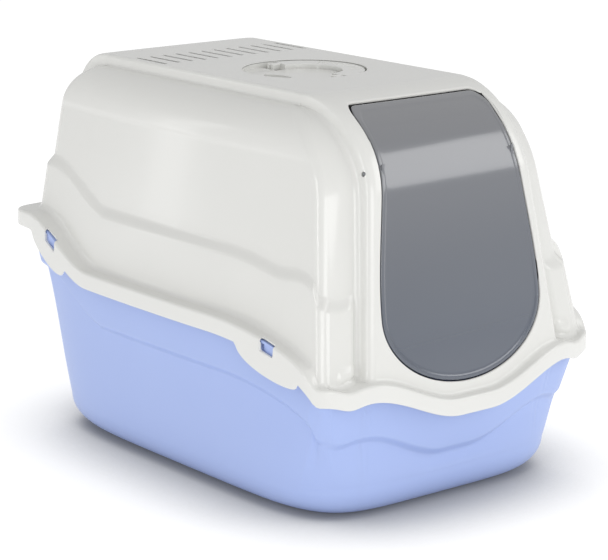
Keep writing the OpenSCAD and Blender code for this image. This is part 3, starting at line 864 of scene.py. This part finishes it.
# ---------------------------------------------------------------- filter
def build_holder():
    low, high = np.array(HOLDER_LOW) / MM, np.array(HOLDER_HIGH) / MM
    holder = rounded_box("filter holder", low, high, 1.0)
    cut(holder, rounded_box("inside", low + 2, (high[0] - 2, high[1] - 2, high[2] + 5), 0.8))
    for i in range(10):
        for j in range(2):
            x, y = low[0] + 7 + i * WINDOW_PITCH[0], low[1] + 7 + j * WINDOW_PITCH[1]
            cut(holder, rounded_box("window", (x, y, low[2] - 2),
                                    (x + WINDOW[0], y + WINDOW[1], low[2] + 4), 1.0))
    shade(holder)
    return holder


def build_pad():
    """Carbon fleece: a slab whose faces dip between quilted lines, with soft cut edges."""
    low, high = np.array(PAD_LOW) / MM, np.array(PAD_HIGH) / MM
    centre, half = (low + high) / 2, (high - low) / 2
    nx, ny = 93, 31
    bm = bmesh.new()
    grids = []
    for s in (1, -1):
        grid = []
        for j in range(ny + 1):
            row = []
            for i in range(nx + 1):
                u, v = 2 * i / nx - 1, 2 * j / ny - 1
                edge = min(1 - abs(u), (1 - abs(v)) * half[1] / half[0]) * half[0]
                plump = 1 - 0.55 * math.exp(-max(edge, 0) / 2.2)
                quilt = 0.88 + 0.12 * abs(math.sin(math.pi * (i / nx * 9 + j / ny * 3)))
                ripple = 0.02 * math.sin(i * 1.7 + j * 2.3)
                z = s * half[2] * plump * (quilt + ripple) if edge > 0 else 0.0
                z = min(max(z, -half[2]), half[2])
                row.append(bm.verts.new(((centre[0] + u * half[0]) * MM, (centre[1] + v * half[1]) * MM,
                                         (centre[2] + z) * MM)))
            grid.append(row)
        for j in range(ny):
            for i in range(nx):
                quad = (grid[j][i], grid[j][i + 1], grid[j + 1][i + 1], grid[j + 1][i])
                bm.faces.new(quad if s > 0 else quad[::-1])
        grids.append(grid)
    bmesh.ops.remove_doubles(bm, verts=bm.verts, dist=1e-6)
    bmesh.ops.recalc_face_normals(bm, faces=bm.faces)
    mesh = bpy.data.meshes.new("carbon pad")
    bm.to_mesh(mesh)
    bm.free()
    pad = bpy.data.objects.new("carbon_pad", mesh)
    bpy.context.scene.collection.objects.link(pad)
    shade(pad, 60)
    return pad


# ---------------------------------------------------------------- tray
def tray_base(inset):
    """Tray outline above its round bottom edge: a rounded rectangle, station by station."""
    a, b = TRAY_BASE[0] - inset, TRAY_BASE[1] - inset
    u, v = np.abs(FLANGE[:, 0]) / HALF_W, np.abs(FLANGE[:, 1]) / HALF_L
    k = (u**TRAY_CORNER_POWER + v**TRAY_CORNER_POWER) ** (-1 / TRAY_CORNER_POWER)
    return np.c_[a * k * u, TRAY_MID_Y + np.sign(FLANGE[:, 1]) * b * k * v]


def tray_rows():
    """Outer skin of the tray: flat base, round bottom edge, wall with a soft ledge, flange."""
    under = RIM - WALL - 0.6 - WALL
    upper = FLANGE + INWARD * TRAY_INSET
    base = tray_base(0.0)
    r = TRAY_BOTTOM_R
    rows = [(tray_base(r - r * math.sin(a)), np.full(HALF_N, r * (1 - math.cos(a))))
            for a in np.linspace(0, math.pi / 2, 19)]
    ledge_at = RIM - TRAY_LEDGE_DROP

    def wall(z):
        share = ((z - r) / (under - r))[:, None]
        below = 1 - smooth((z - ledge_at + 4) / 9)
        settle = smooth((z - r) / np.maximum(1.0, ledge_at - 4 - r))
        return mix(base, upper, share) + INWARD * (TRAY_LEDGE * below * settle)[:, None]

    for t in np.linspace(0, 1, 20)[1:]:
        z = mix(np.full(HALF_N, r), ledge_at - 6, t)
        rows.append((wall(z), z))
    for t in np.linspace(0, 1, 14)[1:]:
        z = mix(ledge_at - 6, ledge_at + 8, t)
        rows.append((wall(z), z))
    for t in np.linspace(0, 1, 12)[1:]:
        z = mix(ledge_at + 8, under - 4, t)
        rows.append((wall(z), z))
    for a in np.linspace(0, math.pi / 2, 6)[1:]:
        rows.append((upper - INWARD * (4 * (1 - math.cos(a))), under - 4 * (1 - math.sin(a))))
    rows.append((FLANGE + INWARD * 6.0, under))
    rows.append((FLANGE + INWARD * 3.1, under))
    return rows


def build_tray():
    rings = [full_ring(xy, z) for xy, z in tray_rows()]
    tray = loft("tray", rings, cap_first=True)
    apply_modifier(tray, "SOLIDIFY", thickness=WALL * MM, offset=-1.0, use_even_offset=True,
                   thickness_clamp=0.9)
    for place in SLOT_PLACES:
        for side in (-1, 1):
            add(tray, snap_hook(place, side))
    shade(tray)
    return tray


def snap_hook(place, side):
    """Spring tab on the tray's flange that shows in a slot of the skirt."""
    x = float(flange_x(place)) - WALL - 0.9
    rise = rim_slope(x, place)
    top = float(rim_at(x, place)) - WALL - 1.1
    low = np.array([x - TAB_T, -TAB_HALF_W, -TAB_H])
    high = np.array([x, TAB_HALF_W, 0.0])
    tab = rounded_box("tab", low, high, 1.0)
    for v in tab.data.vertices:
        y = v.co.y / MM
        lean = 1.6 * smooth(np.array(-v.co.z / MM / TAB_H))
        v.co.x = side * (v.co.x - float(lean) * MM * 0.5)
        v.co.z += (top + rise * y) * MM
        v.co.y += place * MM
    recalc(tab)
    return tab


# ---------------------------------------------------------------- materials
def material(name):
    m = bpy.data.materials.new(name)
    m.use_nodes = True
    nodes, links = m.node_tree.nodes, m.node_tree.links
    return m, nodes, links, nodes["Principled BSDF"]


def moulded_plastic(name, colour, shade_colour, roughness, grain, coat=0.0, translucency=0.0):
    """Moulded polypropylene: slow colour drift, fine surface grain, uneven gloss."""
    m, nodes, links, bsdf = material(name)
    place = nodes.new("ShaderNodeTexCoord")
    drift = nodes.new("ShaderNodeTexNoise")
    drift.inputs["Scale"].default_value = 9.0
    drift.inputs["Detail"].default_value = 3.0
    links.new(place.outputs["Object"], drift.inputs["Vector"])
    tint = nodes.new("ShaderNodeMix")
    tint.data_type = "RGBA"
    tint.inputs[6].default_value = (*colour, 1)
    tint.inputs[7].default_value = (*shade_colour, 1)
    links.new(drift.outputs["Fac"], tint.inputs[0])
    links.new(tint.outputs[2], bsdf.inputs["Base Color"])
    fine = nodes.new("ShaderNodeTexNoise")
    fine.inputs["Scale"].default_value = 900.0
    fine.inputs["Detail"].default_value = 2.0
    links.new(place.outputs["Object"], fine.inputs["Vector"])
    gloss = nodes.new("ShaderNodeMapRange")
    gloss.inputs["To Min"].default_value = roughness * 0.85
    gloss.inputs["To Max"].default_value = roughness * 1.2
    links.new(fine.outputs["Fac"], gloss.inputs["Value"])
    links.new(gloss.outputs["Result"], bsdf.inputs["Roughness"])
    flow = nodes.new("ShaderNodeTexNoise")
    flow.inputs["Scale"].default_value = 26.0
    flow.inputs["Detail"].default_value = 1.0
    links.new(place.outputs["Object"], flow.inputs["Vector"])
    soft = nodes.new("ShaderNodeBump")
    soft.inputs["Strength"].default_value = 0.10
    soft.inputs["Distance"].default_value = 0.0006
    links.new(flow.outputs["Fac"], soft.inputs["Height"])
    bump = nodes.new("ShaderNodeBump")
    bump.inputs["Strength"].default_value = grain
    bump.inputs["Distance"].default_value = 0.0001
    links.new(fine.outputs["Fac"], bump.inputs["Height"])
    links.new(soft.outputs["Normal"], bump.inputs["Normal"])
    links.new(bump.outputs["Normal"], bsdf.inputs["Normal"])
    bsdf.inputs["IOR"].default_value = 1.49
    bsdf.inputs["Coat Weight"].default_value = coat
    bsdf.inputs["Coat Roughness"].default_value = 0.08
    if translucency:
        bsdf.inputs["Subsurface Weight"].default_value = translucency
        bsdf.inputs["Subsurface Radius"].default_value = (0.004, 0.004, 0.004)
        bsdf.inputs["Subsurface Scale"].default_value = 1.0
    return m


def smoked_plastic_with_painted_sheen():
    """Tinted door: glossy skin over a smoky body that lets a little light through.

    The body gets lighter towards the top edge: a painted sheen, standing in for light from above on the
    top's curve.
    """
    m, nodes, links, bsdf = material("smoked plastic with painted sheen")
    place = nodes.new("ShaderNodeTexCoord")
    haze = nodes.new("ShaderNodeTexNoise")
    haze.inputs["Scale"].default_value = 7.0
    haze.inputs["Detail"].default_value = 2.0
    links.new(place.outputs["Object"], haze.inputs["Vector"])
    parts = nodes.new("ShaderNodeSeparateXYZ")
    links.new(place.outputs["Object"], parts.inputs["Vector"])
    # Painted light: the tint lightens with height, a painted sheen towards the top edge.
    height = nodes.new("ShaderNodeMapRange")
    height.inputs["From Min"].default_value = 0.17
    height.inputs["From Max"].default_value = 0.39
    links.new(parts.outputs["Z"], height.inputs["Value"])
    tint = nodes.new("ShaderNodeMix")
    tint.data_type = "RGBA"
    tint.inputs[6].default_value = (0.088, 0.106, 0.145, 1)
    tint.inputs[7].default_value = (0.230, 0.236, 0.252, 1)
    links.new(height.outputs["Result"], tint.inputs[0])
    links.new(tint.outputs[2], bsdf.inputs["Base Color"])
    gloss = nodes.new("ShaderNodeMapRange")
    gloss.inputs["To Min"].default_value = 0.16
    gloss.inputs["To Max"].default_value = 0.24
    links.new(haze.outputs["Fac"], gloss.inputs["Value"])
    links.new(gloss.outputs["Result"], bsdf.inputs["Roughness"])
    fine = nodes.new("ShaderNodeTexNoise")
    fine.inputs["Scale"].default_value = 700.0
    links.new(place.outputs["Object"], fine.inputs["Vector"])
    bump = nodes.new("ShaderNodeBump")
    bump.inputs["Strength"].default_value = 0.04
    bump.inputs["Distance"].default_value = 0.0001
    links.new(fine.outputs["Fac"], bump.inputs["Height"])
    links.new(bump.outputs["Normal"], bsdf.inputs["Normal"])
    bsdf.inputs["IOR"].default_value = 1.5
    bsdf.inputs["Alpha"].default_value = 0.84
    bsdf.inputs["Coat Weight"].default_value = 1.0
    bsdf.inputs["Coat IOR"].default_value = 1.7
    bsdf.inputs["Coat Roughness"].default_value = 0.12
    return m


def carbon_fleece():
    """Matt black fibre with a fuzzy relief."""
    m, nodes, links, bsdf = material("carbon fleece")
    place = nodes.new("ShaderNodeTexCoord")
    fibre = nodes.new("ShaderNodeTexNoise")
    fibre.inputs["Scale"].default_value = 420.0
    fibre.inputs["Detail"].default_value = 6.0
    fibre.inputs["Distortion"].default_value = 1.5
    links.new(place.outputs["Object"], fibre.inputs["Vector"])
    ramp = nodes.new("ShaderNodeValToRGB")
    ramp.color_ramp.elements[0].color = (0.006, 0.006, 0.007, 1)
    ramp.color_ramp.elements[1].color = (0.035, 0.035, 0.037, 1)
    links.new(fibre.outputs["Fac"], ramp.inputs["Fac"])
    links.new(ramp.outputs["Color"], bsdf.inputs["Base Color"])
    bump = nodes.new("ShaderNodeBump")
    bump.inputs["Strength"].default_value = 0.8
    bump.inputs["Distance"].default_value = 0.0006
    links.new(fibre.outputs["Fac"], bump.inputs["Height"])
    links.new(bump.outputs["Normal"], bsdf.inputs["Normal"])
    bsdf.inputs["Roughness"].default_value = 0.95
    bsdf.inputs["Sheen Weight"].default_value = 0.3
    return m


def dress(piece, name, body, node, mat):
    """Names a piece, gives it its one material, ties it to its body and hides the CAD node it stands in
    for.
    """
    piece.name = name
    piece.data.materials.clear()
    piece.data.materials.append(mat)
    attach(piece, body)
    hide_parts(node)


# ---------------------------------------------------------------- stage
def make_floor():
    """Large pale floor that glows softly; near the object the glow drops, a painted contact shadow."""
    bpy.ops.mesh.primitive_plane_add(size=14, location=(0, 0, 0))
    floor = bpy.context.object
    floor.name = "floor"
    m, nodes, links, bsdf = material("floor")
    bsdf.inputs["Base Color"].default_value = (0.4, 0.4, 0.4, 1)
    bsdf.inputs["Roughness"].default_value = 0.9
    bsdf.inputs["Specular IOR Level"].default_value = 0.0
    # Painted shadow: the object's occlusion dims the floor's glow, standing in for its contact shadow.
    shadow_occlusion = nodes.new("ShaderNodeAmbientOcclusion")
    shadow_occlusion.samples = 16
    shadow_occlusion.inputs["Distance"].default_value = 0.15
    glow_with_painted_shadow = nodes.new("ShaderNodeMapRange")
    glow_with_painted_shadow.interpolation_type = "SMOOTHSTEP"
    glow_with_painted_shadow.inputs["From Min"].default_value = 0.25
    glow_with_painted_shadow.inputs["From Max"].default_value = 0.98
    glow_with_painted_shadow.inputs["To Min"].default_value = 0.03
    glow_with_painted_shadow.inputs["To Max"].default_value = 0.78
    links.new(shadow_occlusion.outputs["AO"], glow_with_painted_shadow.inputs["Value"])
    bsdf.inputs["Emission Color"].default_value = (1, 1, 1, 1)
    links.new(glow_with_painted_shadow.outputs["Result"], bsdf.inputs["Emission Strength"])
    floor.data.materials.append(m)


def area_light(name, place, aim, size, power):
    data = bpy.data.lights.new(name, "AREA")
    data.shape = "RECTANGLE"
    data.size, data.size_y = size
    data.energy = power
    light = bpy.data.objects.new(name, data)
    light.location = place
    light.rotation_euler = (Vector(aim) - Vector(place)).to_track_quat("-Z", "Y").to_euler()
    bpy.context.scene.collection.objects.link(light)


def make_lights():
    """White surroundings, a soft box at the front and one to the right that glazes the door,
    and two tall narrow ones at the left that streak the gloss."""
    area_light("rear left", (-1.75, 2.2, 0.75), (-0.1, 0, 0.25), (0.16, 1.3), 1.2)
    area_light("left", (-2.5, -0.5, 0.7), (0, 0, 0.25), (0.22, 1.5), 7)
    area_light("front", (-1.2, -2.7, 0.9), (0, 0, 0.2), (1.6, 1.0), 13)
    area_light("door glaze", (1.7, -2.2, 1.5), (0, -0.25, 0.3), (1.8, 1.5), 17)
    world = bpy.context.scene.world or bpy.data.worlds.new("world")
    bpy.context.scene.world = world
    world.use_nodes = True
    nodes, links = world.node_tree.nodes, world.node_tree.links
    back = nodes["Background"]
    back.inputs["Color"].default_value = (1, 1, 1, 1)
    path = nodes.new("ShaderNodeLightPath")
    level = nodes.new("ShaderNodeMapRange")
    level.inputs["To Min"].default_value = 0.66
    level.inputs["To Max"].default_value = 1.02
    links.new(path.outputs["Is Camera Ray"], level.inputs["Value"])
    links.new(level.outputs["Result"], back.inputs["Strength"])


def develop():
    """Plain colour handling, so that white stays white."""
    bpy.context.scene.view_settings.view_transform = "Standard"
    bpy.context.scene.view_settings.look = "None"


def make_camera():
    """Camera at eye level of a table-top shot, to the left of the door."""
    azimuth, elevation = math.radians(-38.56), math.radians(13.75)
    data = bpy.data.cameras.new("camera")
    data.sensor_width = 36
    data.lens = 138.9
    data.clip_end = 40
    camera = bpy.data.objects.new("camera", data)
    camera.location = (-1.51683, -1.91493, 0.77763)
    camera.rotation_euler = (math.pi / 2 - elevation, 0, azimuth)
    bpy.context.scene.collection.objects.link(camera)
    bpy.context.scene.camera = camera


def main():
    develop()
    make_camera()
    make_lights()
    make_floor()
    hood_plastic = moulded_plastic(
        "hood plastic", (0.76, 0.76, 0.735), (0.73, 0.73, 0.705), roughness=0.2, grain=0.05,
        coat=0.3, translucency=0.05)
    tray_plastic = moulded_plastic(
        "tray plastic", (0.40, 0.50, 0.83), (0.38, 0.48, 0.81), roughness=0.36, grain=0.08,
        translucency=0.05)
    inner_plastic = moulded_plastic(
        "inner plastic", (0.66, 0.66, 0.64), (0.62, 0.62, 0.6), roughness=0.5, grain=0.12)
    dress(build_hood(), "hood_cover", "hood", "hood", hood_plastic)
    dress(build_tray(), "tray_pan", "tray", "tray", tray_plastic)
    dress(build_door(), "door_panel", "door", "door_flap", smoked_plastic_with_painted_sheen())
    dress(build_handle(), "handle_grip", "handle", "carry_handle", hood_plastic)
    dress(build_holder(), "filter_tray", "hood", "filter_holder", inner_plastic)
    pad = build_pad()
    dress(pad, "carbon_pad", "hood", "carbon_filter", carbon_fleece())


main()
